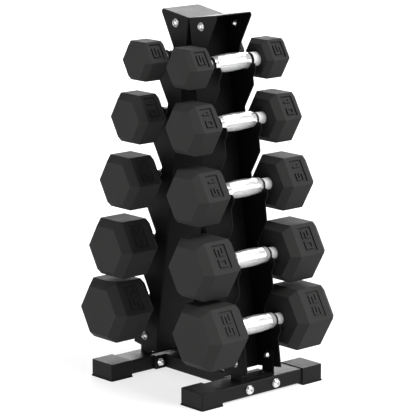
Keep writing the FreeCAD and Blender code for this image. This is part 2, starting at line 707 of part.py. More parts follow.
make_panel()
make_cap()
make_foot_bracket()
make_base_tube()
make_crossbar()
make_boots()
make_dumbbells()
make_panel_fasteners()
make_base_fasteners()
check_document()

os.makedirs("parts", exist_ok=True)
for piece in finished:
    piece.Shape.exportStep("parts/%s.step" % piece.Label)
print("%d sub-parts, %d solids" % (len(finished), sum(len(piece.Shape.Solids) for piece in finished)))
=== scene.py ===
"""The looks of a two-sided dumbbell rack and its ten hexagonal dumbbells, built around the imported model."""

import math

import bmesh
import bpy
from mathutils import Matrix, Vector


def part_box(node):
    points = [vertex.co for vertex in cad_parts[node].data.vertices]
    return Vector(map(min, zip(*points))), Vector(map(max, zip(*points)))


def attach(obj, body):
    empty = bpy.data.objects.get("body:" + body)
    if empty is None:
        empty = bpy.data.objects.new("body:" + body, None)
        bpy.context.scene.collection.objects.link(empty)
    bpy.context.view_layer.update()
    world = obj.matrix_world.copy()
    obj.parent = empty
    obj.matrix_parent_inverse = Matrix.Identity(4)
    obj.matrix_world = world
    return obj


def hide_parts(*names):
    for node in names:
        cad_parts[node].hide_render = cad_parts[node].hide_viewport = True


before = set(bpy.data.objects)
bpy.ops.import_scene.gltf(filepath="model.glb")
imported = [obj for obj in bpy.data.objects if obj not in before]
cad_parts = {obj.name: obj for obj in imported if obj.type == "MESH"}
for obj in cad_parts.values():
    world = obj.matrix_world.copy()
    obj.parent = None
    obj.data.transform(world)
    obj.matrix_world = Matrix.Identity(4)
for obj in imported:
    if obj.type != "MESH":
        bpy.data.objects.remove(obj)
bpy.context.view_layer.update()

bl_info = {
    "name": "Dumbbell Rack",
    "version": (1, 0, 0),
    "blender": (4, 5, 0),
    "location": "3D View > Sidebar > Rack",
    "description": "Finishes a dumbbell rack and makes its rubber heads, chromed handles, boots and bolts",
    "category": "Object",
}

SIDES = ("front", "rear")
WEIGHTS = ("5lb", "10lb", "15lb", "20lb", "25lb")
STEMS = [side + "_" + weight for side in SIDES for weight in WEIGHTS]
SIXTH = math.radians(60)
RIGHT, REARWARD, UPWARD = Vector((1, 0, 0)), Vector((0, 1, 0)), Vector((0, 0, 1))

# The finishes' shades, in shares of their colour: the darker and paler patches, then a worn edge.
RUBBER_SHADES = (0.86, 1.14, 2.4)
# On the powder coat the pale worn edge is partly real wear and partly a painted highlight along the sheet's
# edges.
POWDER_SHADES = (0.85, 1.2, 3.2)
ZINC_SHADES = (0.82, 1.05)
# How dark the chrome is made in the knurl's valleys, in a share of its colour.
KNURL_VALLEY_DARKENING = 0.42
IRON_COLOURS = ((0.06, 0.057, 0.055, 1), (0.14, 0.13, 0.125, 1))
# Sizes of the patches where edges are worn, and of the patches in the coat, the plating and the iron.
RUBBER_SCUFFS = 0.006
POWDER_SCUFFS = 0.004
POWDER_CLOUD = 0.05
CHROME_MARKS = 0.012
ZINC_MOTTLE = 0.0016
IRON_PITS = 0.003
# Over what length the knurl fades out and the groove's painted shade begins and ends.
KNURL_FADE = 0.0012
GROOVE_FADE = 0.0004

# A head's bevels: their run along X and their end face, in shares of the head's corner radius.
BEVEL_RUN = 0.25
END_FACE = 0.77
HUB_RADIUS = 0.021
HUB_DEPTH = 0.002
HUB_RIM = 0.0012
# How much wider than the handle's collar the hole in a head is, how deep it runs, and its rounded rim.
COLLAR_GAP = 0.0002
COLLAR_HOLE_DEPTH = 0.006
COLLAR_RIM = 0.0003
# The share of the hole's depth that a handle's end fills.
HANDLE_REACH = 0.8
HANDLE_SIDES = 96
# The sides of a head that carry its number, counted from the one above +Y. Side 1 is the top.
NUMBER_SIDES = (0, 2)
PANEL_RIM = 0.0004
# Widths and heights of the digits in shares of half the panel, for numbers of one and two digits.
DIGIT_WIDTHS = {1: 1.12, 2: 0.64}
DIGIT_HEIGHTS = {1: 1.3, 2: 1.14}
# The gap between digits in shares of their width, their stroke in shares of their smaller size, and how
# deep their feet stand in the panel's floor.
DIGIT_GAP = 0.36
DIGIT_STROKE = 0.22
DIGIT_FOOTING = 0.0002

# A bolt head's socket in shares of its radius, and its dome as shares of its height and its radius.
SOCKET_SIZE = 0.37
BOLT_DOME = ((0.22, 1), (0.42, 0.955), (0.63, 0.85), (0.82, 0.69), (0.94, 0.53))
BOLT_TIP = 0.0006
BOLT_EDGE = 0.0003
# A cap nut's hexagonal foot and the chamfer on it, in shares of half its width across the flats.
NUT_FOOT = 0.5
NUT_EDGE = 0.06
# The rounding on a boot's lip, and its smallest corners.
LIP_EDGE = 0.0004
LEAST_CORNER = 0.0004
INNER_CORNER = 0.0006

FLOOR_SIDES = 96
# How far the floor lies under the boots, so that their soles don't share its plane.
FLOOR_DROP = 0.0002
# How many times brighter than the floor the backdrop glows.
BACKDROP_GLOW = 1.6
# Name, azimuth and elevation in degrees, distance, size and power of each soft light.
STUDIO_LIGHTS = (
    ("side light", -95, 8, 4.2, 2.4, 65),
    ("back light", 138, 26, 4.6, 3.2, 150),
)


# ---- Finishes --------------------------------------------------------------------------------------------


class Reading:
    """One value in a finish's nodes. Arithmetic on it adds Math nodes."""

    def __init__(self, finish, socket):
        self.finish = finish
        self.socket = socket

    def math(self, operation, first, second=0.0, clamp=False):
        settings = {"operation": operation, "use_clamp": clamp}
        return self.finish.node("ShaderNodeMath", settings, {0: first, 1: second})

    def __add__(self, other):
        return self.math("ADD", self, other)

    def __sub__(self, other):
        return self.math("SUBTRACT", self, other)

    def __mul__(self, other):
        return self.math("MULTIPLY", self, other)

    def __rsub__(self, other):
        return self.math("SUBTRACT", other, self)

    __radd__ = __add__
    __rmul__ = __mul__

    def fraction(self):
        return self.math("FRACT", self)

    def size(self):
        return self.math("ABSOLUTE", self)

    def least(self, other):
        return self.math("MINIMUM", self, other)

    def held(self):
        """The value kept between 0 and 1."""
        return self.math("ADD", self, 0.0, clamp=True)


class Finish:
    """A material whose Principled shader is fed by nodes."""

    def __init__(self, name, **constants):
        self.material = bpy.data.materials.new(name)
        self.material.use_nodes = True
        self.tree = self.material.node_tree
        self.shader = self.tree.nodes["Principled BSDF"]
        for socket, number in constants.items():
            self.shader.inputs[socket.replace("_", " ")].default_value = number
        self.place = self.node("ShaderNodeTexCoord", output="Object")

    def node(self, kind, settings=None, inputs=None, output=0):
        """Adds a node with its settings and its sockets' values or links, and returns one output."""
        node = self.tree.nodes.new(kind)
        for name, setting in (settings or {}).items():
            setattr(node, name, setting)
        for key, given in (inputs or {}).items():
            self.feed(node.inputs[key], given)
        return Reading(self, node.outputs[output])

    def feed(self, socket, given):
        if isinstance(given, Reading):
            self.tree.links.new(given.socket, socket)
        else:
            socket.default_value = given

    def drive(self, name, given):
        self.feed(self.shader.inputs[name], given)

    def noise(self, grain, detail=2.0, roughness=0.5):
        """Soft noise whose patches are about grain metres across."""
        inputs = {"Vector": self.place, "Scale": 1 / grain, "Detail": detail, "Roughness": roughness}
        return self.node("ShaderNodeTexNoise", None, inputs)

    def cells(self, grain):
        """Distance to the nearest of scattered points about grain metres apart."""
        return self.node("ShaderNodeTexVoronoi", None, {"Vector": self.place, "Scale": 1 / grain})

    def spread(self, reading, low, high, start=0.0, end=1.0):
        """Maps low to start and high to end, held at both."""
        inputs = {"Value": reading, "From Min": low, "From Max": high, "To Min": start, "To Max": end}
        return self.node("ShaderNodeMapRange", {"clamp": True}, inputs)

    def blend(self, share, first, second):
        """Mixes two colours."""
        return self.node("ShaderNodeMix", {"data_type": "RGBA"}, {0: share, 6: first, 7: second}, 2)

    def rounded(self, radius):
        """The normal with edges rounded over by radius, and how near an edge a point is, from 0 to 1."""
        soft = self.node("ShaderNodeBevel", {"samples": 4}, {"Radius": radius})
        true = self.node("ShaderNodeNewGeometry", output="Normal")
        match = self.node("ShaderNodeVectorMath", {"operation": "DOT_PRODUCT"}, {0: soft, 1: true}, "Value")
        return soft, ((1 - match) * 6).held()

    def bump(self, height, depth, base=None):
        """Raises the surface by height times depth metres, over the base normal."""
        inputs = {"Height": height, "Distance": depth, "Strength": 1.0}
        if base:
            inputs["Normal"] = base
        return self.node("ShaderNodeBump", None, inputs)


def shade(colour, factor):
    """A colour made lighter or darker, with its alpha kept."""
    return tuple(part * factor for part in colour[:3]) + (1.0,)


def rubber_finish(name, settings):
    """Matt moulded rubber: a fine grain, faint cloudiness, and paler scuffs along its edges."""
    finish = Finish(name, Specular_IOR_Level=settings.gloss)
    dark, pale, bare = (shade(settings.colour, factor) for factor in RUBBER_SHADES)
    _, edge = finish.rounded(settings.wear_width)
    cloud = finish.noise(settings.cloud, 4.0, 0.6)
    grain = finish.noise(settings.grain, 3.0, 0.65)
    speckle = finish.cells(settings.grain * 1.6)
    scuff = (edge * finish.spread(finish.noise(RUBBER_SCUFFS, 5.0, 0.7), 0.45, 0.65)).held()
    body = finish.blend(cloud, dark, pale)
    finish.drive("Base Color", finish.blend(scuff * settings.wear, body, bare))
    finish.drive("Roughness", finish.spread(cloud + grain * 0.4 - scuff * 0.3, 0.4, 1.0,
                                            settings.roughness - 0.07, settings.roughness + 0.07))
    finish.drive("Normal", finish.bump(grain + speckle * 0.5, settings.grain_depth))
    return finish.material


def powder_finish(name, settings, gloss):
    """Black powder coat: a fine orange peel, soft edges, and a little wear on the sharp ones, painted pale,
    which is partly real wear and partly a painted highlight along them.
    """
    finish = Finish(name, Specular_IOR_Level=gloss)
    dark, pale, bare = (shade(settings.colour, factor) for factor in POWDER_SHADES)
    soft, edge = finish.rounded(settings.edge_round)
    peel = finish.noise(settings.peel, 2.0, 0.5)
    fleck = finish.noise(settings.peel * 0.35, 2.0, 0.6)
    cloud = finish.noise(POWDER_CLOUD, 4.0, 0.6)
    # The pale edge is partly wear and partly a painted highlight on the sharp edges.
    wear = (edge * finish.spread(finish.noise(POWDER_SCUFFS, 4.0, 0.7), 0.5, 0.7)).held()
    body = finish.blend(cloud, dark, pale)
    finish.drive("Base Color", finish.blend(wear * settings.wear, body, bare))
    finish.drive("Roughness", finish.spread(cloud * 0.6 + fleck * 0.4 - wear * 0.4, 0.3, 0.7,
                                            settings.roughness - 0.05, settings.roughness + 0.06))
    finish.drive("Normal", finish.bump(peel + fleck * 0.3, settings.peel_depth, soft))
    return finish.material


def chrome_finish(name, settings):
    """Polished chrome: a diamond knurl round the grip's middle, grooves coloured near black as painted shade,
    faint handling marks.
    """
    finish = Finish(name)
    wrap = finish.node("ShaderNodeUVMap", {"uv_map": "Wrap"})
    turn = finish.node("ShaderNodeSeparateXYZ", None, {0: wrap}, "X")
    along = finish.node("ShaderNodeSeparateXYZ", None, {0: wrap}, "Y")
    reach = along.size()
    around = turn * settings.knurl_count
    step = along * (1 / settings.knurl_pitch)
    ridges = [(phase.fraction() - 0.5).size() * 2 for phase in (around + step + 100, around - step + 100)]
    diamond = (1 - ridges[0]).least(1 - ridges[1])
    inside = finish.spread(reach, settings.knurl_half, settings.knurl_half + KNURL_FADE, 1.0, 0.0)
    knurl = finish.spread(diamond, 0.0, 0.75) * inside
    marks = finish.noise(CHROME_MARKS, 5.0, 0.65)
    # The knurl's valleys are coloured darker than its tops.
    valley_darkening = (1 - knurl) * inside * 0.5
    start, end = settings.grip_end - settings.chamfer, settings.groove_end + settings.chamfer
    after_grip = finish.spread(reach, start, start + GROOVE_FADE)
    before_collar = finish.spread(reach, end - GROOVE_FADE, end, 1.0, 0.0)
    # Painted shade: the groove between grip and collar is coloured near black for the shade that falls in it.
    groove_painted_shade = after_grip * before_collar * 0.94
    finish.drive("Metallic", finish.spread(reach, end, end + GROOVE_FADE,
                                           settings.metal, settings.collar_metal))
    plated = finish.blend(valley_darkening, settings.colour, shade(settings.colour, KNURL_VALLEY_DARKENING))
    finish.drive("Base Color", finish.blend(groove_painted_shade, plated, settings.groove_shade_colour))
    finish.drive("Roughness", finish.spread(marks, 0.35, 0.75, settings.roughness, settings.roughness + 0.1)
                 + inside * 0.06)
    finish.drive("Normal", finish.bump(knurl, settings.knurl_depth))
    return finish.material


def zinc_finish(name, settings):
    """Bright zinc plating: fine mottling and soft edges."""
    finish = Finish(name, Metallic=1.0)
    dark, pale = (shade(settings.zinc, factor) for factor in ZINC_SHADES)
    soft, edge = finish.rounded(settings.edge_round)
    mottle = finish.noise(ZINC_MOTTLE, 4.0, 0.6)
    finish.drive("Base Color", finish.blend(mottle, dark, pale))
    finish.drive("Roughness", finish.spread(mottle + edge * 0.2, 0.3, 0.8, settings.bright, settings.dull))
    finish.drive("Normal", finish.bump(mottle, 0.00002, soft))
    return finish.material


def iron_finish(name):
    """Rough cast iron, as it is inside a head."""
    finish = Finish(name, Metallic=0.6)
    pits = finish.noise(IRON_PITS, 5.0, 0.7)
    finish.drive("Base Color", finish.blend(pits, *IRON_COLOURS))
    finish.drive("Roughness", finish.spread(pits, 0.3, 0.7, 0.55, 0.8))
    finish.drive("Normal", finish.bump(pits, 0.0003))
    return finish.material


# ---- Mesh work -------------------------------------------------------------------------------------------


def new_piece(name, mesh, material, body, replaced, smooth=35):
    """Makes an object of a bmesh, finishes it, and sets it on its body in place of its CAD nodes."""
    bmesh.ops.recalc_face_normals(mesh, faces=mesh.faces[:])
    data = bpy.data.meshes.new(name)
    mesh.to_mesh(data)
    mesh.free()
    data.materials.append(material)
    data.shade_smooth()
    data.set_sharp_from_angle(angle=math.radians(smooth))
    piece = bpy.data.objects.new(name, data)
    bpy.context.scene.collection.objects.link(piece)
    weighted = piece.modifiers.new("Even shading", "WEIGHTED_NORMAL")
    weighted.keep_sharp = True
    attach(piece, body)
    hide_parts(*replaced)
    return piece


def join_rings(mesh, rings, closed=True):
    """Skins between rings of points, and closes both ends."""
    loops = [[mesh.verts.new(point) for point in ring] for ring in rings]
    count = len(loops[0])
    for near, far in zip(loops, loops[1:]):
        for index in range(count):
            after = (index + 1) % count
            mesh.faces.new((near[index], near[after], far[after], far[index]))
    if closed:
        mesh.faces.new(loops[0])
        mesh.faces.new(loops[-1])
    return loops


def circle(centre, first, second, radius, count):
    """Points round a circle in the plane of two unit vectors."""
    turns = [2 * math.pi * index / count for index in range(count)]
    return [centre + first * (radius * math.cos(turn)) + second * (radius * math.sin(turn))
            for turn in turns]


def widest_face(mesh, direction):
    """The largest flat face that looks in a direction."""
    mesh.normal_update()
    facing = [face for face in mesh.faces if face.normal.dot(direction) > 0.999]
    if not facing:
        raise RuntimeError("no face looks that way")
    return max(facing, key=lambda face: face.calc_area())


def sink_pocket(mesh, face, outline, depth, softness):
    """Sinks a pocket into a flat face. outline(inset) gives its points, and softness rounds its rim."""
    normal = face.normal.copy()
    rim = [mesh.verts.new(point) for point in outline(0.0)]
    count = len(rim)
    rim_edges = [mesh.edges.new((rim[index], rim[(index + 1) % count])) for index in range(count)]
    border = face.edges[:]
    bmesh.ops.delete(mesh, geom=[face], context="FACES_ONLY")
    bmesh.ops.triangle_fill(mesh, use_beauty=True, edges=border + rim_edges, normal=normal)
    steps = [(softness * math.sin(turn), softness * (1 - math.cos(turn)))
             for turn in (math.radians(30), math.radians(60), math.radians(90))]
    steps.append((softness * 1.1, depth))
    above = rim
    for inset, drop in steps:
        below = [mesh.verts.new(point - normal * drop) for point in outline(inset)]
        for index in range(count):
            after = (index + 1) % count
            mesh.faces.new((above[index], above[after], below[after], below[index]))
        above = below
    floor = mesh.faces.new(above)
    floor.normal_update()
    if floor.normal.dot(normal) < 0:
        floor.normal_flip()
    return floor


def circle_outline(centre, first, second, radius, count=48):
    """Gives the points round a circle in the plane of two unit vectors, drawn in by inset."""
    def outline(inset):
        return circle(centre, first, second, radius - inset, count)
    return outline


def plate_outline(centre, first, second, half_first, half_second, corner=0.002):
    """Gives the points round a rectangle with round corners, drawn in by inset."""
    def outline(inset):
        points = []
        reach = corner - inset * 0.5
        for quarter, (one, two) in enumerate(((1, 1), (-1, 1), (-1, -1), (1, -1))):
            middle_one = one * (half_first - inset - reach)
            middle_two = two * (half_second - inset - reach)
            for step in range(4):
                turn = math.radians(90 * quarter + 30 * step)
                points.append(centre + first * (middle_one + reach * math.cos(turn))
                              + second * (middle_two + reach * math.sin(turn)))
        return points
    return outline


def digit_loops(digit, width, height, stroke):
    """Block outlines of a digit, each a loop of (across, up) points: the outside, then any hole."""
    low, high = height / 2 - stroke / 2, height / 2 + stroke / 2
    five = [
        (0, 0), (width, 0), (width, high), (stroke, high), (stroke, height - stroke),
        (width, height - stroke), (width, height), (0, height), (0, low), (width - stroke, low),
        (width - stroke, stroke), (0, stroke),
    ]
    middle = width / 2
    flag = middle - stroke * 1.5
    one = [
        (middle - stroke / 2, 0), (middle + stroke / 2, 0), (middle + stroke / 2, height),
        (middle - stroke / 2, height), (flag, height - stroke), (flag, height - stroke * 2),
        (middle - stroke / 2, height - stroke * 1.3),
    ]
    frame_outside = [(0, 0), (width, 0), (width, height), (0, height)]
    frame_inside = [(stroke, stroke), (width - stroke, stroke), (width - stroke, height - stroke),
                    (stroke, height - stroke)]
    return {
        "0": [frame_outside, frame_inside],
        "1": [one],
        "2": [[(width - across, up) for across, up in five]],
        "5": [five],
    }[digit]


def raise_digit(mesh, loops, corner, across, up, normal, rise):
    """Stands a digit on a flat floor, as a closed shape with softened edges."""
    edges = []
    for loop in loops:
        points = [mesh.verts.new(corner + across * one + up * two) for one, two in loop]
        count = len(points)
        edges += [mesh.edges.new((points[index], points[(index + 1) % count])) for index in range(count)]
    filled = bmesh.ops.triangle_fill(mesh, use_beauty=True, use_dissolve=True, edges=edges, normal=normal)
    base = [part for part in filled["geom"] if isinstance(part, bmesh.types.BMFace)]
    grown = bmesh.ops.extrude_face_region(mesh, geom=base, use_keep_orig=True)["geom"]
    top = [part for part in grown if isinstance(part, bmesh.types.BMVert)]
    bmesh.ops.translate(mesh, verts=top, vec=normal * rise)


# ---- Heads and handles -----------------------------------------------------------------------------------


def head_stations(node):
    """A head pair's corner radius, axis and the X of its four sections, from its CAD node."""
    low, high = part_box(node)
    radius = (high.y - low.y) / 2
    axis = Vector((0, (high.y + low.y) / 2, (high.z + low.z) / 2))
    inner = min(vertex.co.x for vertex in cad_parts[node].data.vertices if vertex.co.x > 0)
    run = BEVEL_RUN * radius
    return radius, axis, (inner, inner + run, high.x - run, high.x)


def coat_thickness(stem):
    """How thick the rubber is over a head's iron core, from the boxes of both CAD nodes."""
    coat_low, coat_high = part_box(stem + "_heads")
    core_low, core_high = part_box(stem + "_cores")
    return ((coat_high.z - coat_low.z) - (core_high.z - core_low.z)) / 2


def mould_head(mesh, radius, axis, stations, collar, coat, hand, number, settings):
    """Adds one bevelled hexagonal head with its hub recess, collar hole and number panels."""
    block = bmesh.new()
    radii = (END_FACE * radius, radius, radius, END_FACE * radius)
    rings = []
    for reach, station in zip(radii, stations):
        rings.append(circle(axis + RIGHT * (hand * station), REARWARD, UPWARD, reach, 6))
    join_rings(block, rings)
    bmesh.ops.recalc_face_normals(block, faces=block.faces[:])
    bmesh.ops.bevel(block, geom=block.edges[:], offset=settings.edge_round, segments=3, profile=0.5,
                    affect="EDGES", clamp_overlap=True)
    face = widest_face(block, RIGHT * -hand)
    centre = axis + RIGHT * (hand * stations[0])
    hub = circle_outline(centre, REARWARD, UPWARD, HUB_RADIUS)
    face = sink_pocket(block, face, hub, HUB_DEPTH, HUB_RIM)
    centre = centre + RIGHT * (hand * HUB_DEPTH)
    hole = circle_outline(centre, REARWARD, UPWARD, collar + COLLAR_GAP)
    sink_pocket(block, face, hole, COLLAR_HOLE_DEPTH, COLLAR_RIM)
    for side in NUMBER_SIDES:
        press_number(block, radius, axis, stations, coat, hand, number, side, settings)
    data = bpy.data.meshes.new("head block")
    block.to_mesh(data)
    block.free()
    mesh.from_mesh(data)
    bpy.data.meshes.remove(data)


def press_number(block, radius, axis, stations, coat, hand, number, side, settings):
    """Sinks a number panel into a head's side and stands its digits on the panel's floor."""
    middle = SIXTH * (side + 0.5)
    normal = Vector((0, math.cos(middle), math.sin(middle)))
    facing = 1 if normal.y < 0 else -1
    across = Vector((0, -math.sin(middle), math.cos(middle))) * facing
    up = RIGHT * facing
    half_flats = radius * math.sqrt(3) / 2
    centre = axis + normal * half_flats + up * (facing * hand * (stations[1] + stations[2]) / 2)
    half_up = (settings.panel_base + settings.panel_share * (stations[2] - stations[1])) / 2
    half_across = settings.panel_length_share * radius / 2
    face = widest_face(block, normal)
    outline = plate_outline(centre, across, up, half_across, half_up)
    depth = min(settings.panel_depth, coat - settings.core_cover)
    sink_pocket(block, face, outline, depth, PANEL_RIM)
    width = half_across * DIGIT_WIDTHS[len(number)]
    height = half_up * DIGIT_HEIGHTS[len(number)]
    gap = width * DIGIT_GAP
    stroke = min(width, height) * DIGIT_STROKE
    start = -(width * len(number) + gap * (len(number) - 1)) / 2
    floor = centre - normal * (depth + DIGIT_FOOTING)
    rise = depth * settings.digit_rise + DIGIT_FOOTING
    for place, digit in enumerate(number):
        corner = floor + across * (start + place * (width + gap)) - up * (height / 2)
        loops = digit_loops(digit, width, height, stroke)
        raise_digit(block, loops, corner, across, up, normal, rise)


def collar_radius(node, axis, start):
    """The radius of a CAD handle's collar, which runs on past start."""
    points = [vertex.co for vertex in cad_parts[node].data.vertices if vertex.co.x > start]
    return max(math.hypot(point.y - axis.y, point.z - axis.z) for point in points)


def turned_profile(settings, collar, end):
    """Half of the handle's outline, as (X, radius) points from its middle outwards."""
    grip, land, swell = settings.grip_radius, settings.land_start, settings.grip_swell
    swelling = [(land * step / 8, grip + swell * math.cos(math.pi / 2 * step / 8)) for step in range(9)]
    groove, chamfer = settings.groove_radius, settings.chamfer
    grip_end, groove_end = settings.grip_end, settings.groove_end
    return swelling + [
        (grip_end - chamfer, grip), (grip_end - chamfer * 0.3, grip - chamfer * 0.3),
        (grip_end, grip - chamfer),
        (grip_end, groove + chamfer * 0.6), (grip_end + chamfer * 0.6, groove),
        (groove_end - chamfer * 0.4, groove), (groove_end, groove + chamfer * 0.4),
        (groove_end + chamfer * 0.6, collar), (end, collar),
    ]


def turn_handle(mesh, axis, profile):
    """Turns a handle about its axis and wraps it with its angle and its X."""
    line = [(-across, reach) for across, reach in reversed(profile[1:])] + list(profile)
    join_rings(mesh, [circle(axis + RIGHT * across, REARWARD, UPWARD, reach, HANDLE_SIDES)
                      for across, reach in line])
    wrap = mesh.loops.layers.uv.new("Wrap")
    for face in mesh.faces:
        angles = []
        for loop in face.loops:
            arm = loop.vert.co - axis
            angles.append(math.atan2(arm.z, arm.y) / (2 * math.pi) % 1.0)
        spans_seam = max(angles) - min(angles) > 0.5
        for loop, angle in zip(face.loops, angles):
            turn = angle + 1 if spans_seam and angle < 0.5 else angle
            loop[wrap].uv = (turn, loop.vert.co.x)


# ---- Bolts and boots -------------------------------------------------------------------------------------


def fastener_seats(node, axis_name, half_width, way):
    """The outermost centre of each head, or seat of each nut, in a CAD node's box, and the way it points."""
    low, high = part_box(node)
    height = (high.z + low.z) / 2
    seats = []
    for hand in (-1, 1):
        for side in (-1, 1):
            if axis_name == "x":
                seat = Vector((hand * high.x, side * (high.y - half_width), height))
                seats.append((seat, Vector((hand * way, 0, 0))))
            else:
                seat = Vector((hand * (high.x - half_width), side * high.y, height))
                seats.append((seat, Vector((0, side * way, 0))))
    return seats


def fastener_rings(mesh, seat, outward, steps, count=36):
    """Skins a fastener through steps of (height, radius, squareness), from round at 0 to hexagonal at 1."""
    side = outward.cross(UPWARD)
    rings = []
    for along, reach, squareness in steps:
        ring = []
        for index in range(count):
            turn = 2 * math.pi * index / count
            flat = 1 / math.cos((turn + SIXTH / 2) % SIXTH - SIXTH / 2)
            out = reach * (1 + squareness * (flat - 1))
            arm = side * (out * math.sin(turn)) + UPWARD * (out * math.cos(turn))
            ring.append(seat + outward * along + arm)
        rings.append(ring)
    join_rings(mesh, rings)


def turn_bolt(mesh, top, outward, radius, head_height, shank_radius, length):
    """Adds one domed bolt with a hexagonal socket in its head."""
    socket = radius * SOCKET_SIZE
    shank = [(-length, shank_radius * 0.8, 0), (-length + BOLT_TIP, shank_radius, 0),
             (0, shank_radius, 0)]
    rim = [(0, radius * 0.97, 0), (BOLT_EDGE, radius, 0)]
    dome = [(head_height * high, radius * wide, 0) for high, wide in BOLT_DOME]
    well = [(head_height, socket * 1.2, 0.4), (head_height * 0.97, socket, 1),
            (head_height * 0.4, socket, 1), (head_height * 0.3, socket * 0.3, 0)]
    fastener_rings(mesh, top - outward * head_height, outward, shank + rim + dome + well)


def turn_cap_nut(mesh, seat, inward, flats, height):
    """Adds one domed cap nut: a hexagonal foot and a dome that covers the bolt's end."""
    foot = flats * NUT_FOOT
    edge = flats * NUT_EDGE
    steps = [(0, flats * 0.95, 1), (edge, flats, 1), (foot - edge, flats, 1), (foot, flats * 0.96, 0.7)]
    for step in range(1, 9):
        turn = math.radians(11 * step)
        steps.append((foot + (height - foot) * math.sin(turn), flats * 0.92 * math.cos(turn) ** 0.8, 0))
    fastener_rings(mesh, seat, inward, steps)


def mould_boot(mesh, node, hand, settings):
    """Adds a slip-on boot: rounded walls and roof, and a lip round its foot."""
    low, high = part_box(node)
    lip, lip_height = settings.lip, settings.lip_height
    inner = low.x if hand > 0 else high.x
    outer = (high.x if hand > 0 else low.x) - hand * lip
    near, far = low.y + lip, high.y - lip
    middle = Vector(((inner + outer) / 2, (near + far) / 2, 0))
    half = Vector((abs(outer - inner) / 2, (far - near) / 2, 0))
    corner, roof = settings.corner, settings.roof_round

    def layer(height, growth):
        points = []
        reach = max(corner + growth, LEAST_CORNER)
        for quarter, (one, two) in enumerate(((1, 1), (-1, 1), (-1, -1), (1, -1))):
            outward = one * hand > 0
            round_corner = reach if outward else INNER_CORNER
            spread_x = growth if outward else min(growth, 0.0)
            for step in range(5):
                turn = math.radians(90 * quarter + 22.5 * step)
                points.append(Vector((
                    middle.x + one * (half.x + spread_x - round_corner) + round_corner * math.cos(turn),
                    middle.y + two * (half.y + growth - round_corner) + round_corner * math.sin(turn),
                    height,
                )))
        return points

    foot, lip_top = low.z, low.z + lip_height
    rings = [layer(foot, lip - LIP_EDGE), layer(foot + LIP_EDGE, lip), layer(lip_top - LIP_EDGE, lip),
             layer(lip_top, lip - LIP_EDGE), layer(lip_top + 0.0003, 0.0)]
    for step in range(5):
        turn = math.radians(22.5 * step)
        rings.append(layer(high.z - roof + roof * math.sin(turn), -roof * (1 - math.cos(turn))))
    join_rings(mesh, rings)


# ---- Settings --------------------------------------------------------------------------------------------


def length_setting(name, description, default):
    return bpy.props.FloatProperty(name=name, description=description, default=default, unit="LENGTH",
                                   subtype="DISTANCE", min=0.0, precision=5)


def share_setting(name, description, default):
    return bpy.props.FloatProperty(name=name, description=description, default=default, subtype="FACTOR",
                                   min=0.0, max=1.0)


def number_setting(name, description, default):
    return bpy.props.FloatProperty(name=name, description=description, default=default)


def colour_setting(name, description, default):
    return bpy.props.FloatVectorProperty(name=name, description=description, default=default, size=4,
                                         subtype="COLOR", min=0.0, max=1.0)


class RackHeadSettings(bpy.types.PropertyGroup):
    """Sizes and finish of the rubber heads."""

    colour: colour_setting("Rubber colour", "Colour of the heads", (0.017, 0.017, 0.0166, 1))
    roughness: share_setting("Roughness", "How matt the rubber is", 0.72)
    gloss: share_setting("Gloss", "Strength of the rubber's sheen", 0.16)
    grain: length_setting("Grain", "Size of the rubber's moulded grain", 0.0009)
    grain_depth: length_setting("Grain depth", "Depth of the moulded grain", 0.00006)
    cloud: length_setting("Cloud", "Size of the faint patches in the rubber", 0.035)
    wear: share_setting("Wear", "How much the edges are scuffed", 0.35)
    wear_width: length_setting("Wear width", "How far scuffs reach from an edge", 0.002)
    edge_round: length_setting("Edge rounding", "Rounding along a head's edges", 0.0008)
    panel_base: length_setting("Panel base", "Least height of a number panel", 0.0165)
    panel_share: share_setting("Panel share", "Growth of the panel's height with the head", 0.26)
    panel_length_share: share_setting("Panel length", "Panel length in shares of the head's radius", 0.77)
    panel_depth: length_setting("Panel depth", "Greatest depth of a number panel", 0.0028)
    core_cover: length_setting("Core cover", "Least rubber left between a panel and the core", 0.0003)
    digit_rise: share_setting("Digit rise", "Height of the digits in shares of the panel's depth", 0.92)


class RackHandleSettings(bpy.types.PropertyGroup):
    """Sizes and finish of the chromed handles."""

    colour: colour_setting("Chrome colour", "Colour of the plating", (0.86, 0.86, 0.87, 1))
    collar_metal: share_setting("Collar metal", "How much the collars mirror instead of scattering", 0.3)
    # Painted shade: the near-black colour that paints the shade in the groove beside the grip.
    groove_shade_colour: colour_setting("Groove colour", "Colour of the blackened groove",
                                  (0.012, 0.012, 0.012, 1))
    metal: share_setting("Metal", "How far the plating mirrors rather than scatters light", 0.75)
    roughness: share_setting("Roughness", "How dull the plating is", 0.09)
    grip_radius: length_setting("Grip radius", "Radius at the grip's ends", 0.0135)
    grip_swell: length_setting("Grip swell", "How much thicker the grip's middle is", 0.002)
    land_start: length_setting("Land start", "Where the grip's plain end begins", 0.033)
    grip_end: length_setting("Grip end", "Half the grip's length", 0.0405)
    groove_radius: length_setting("Groove radius", "Radius of the groove beside the grip", 0.0095)
    groove_end: length_setting("Groove end", "Where the groove meets the collar", 0.046)
    chamfer: length_setting("Chamfer", "Chamfer on the grip's ends", 0.0009)
    knurl_half: length_setting("Knurl reach", "Half the length of the knurled band", 0.0305)
    knurl_pitch: length_setting("Knurl pitch", "Length of one diamond of the knurl", 0.0026)
    knurl_count: number_setting("Knurl count", "Diamonds round the grip", 54)
    knurl_depth: length_setting("Knurl depth", "Depth of the knurl", 0.00028)


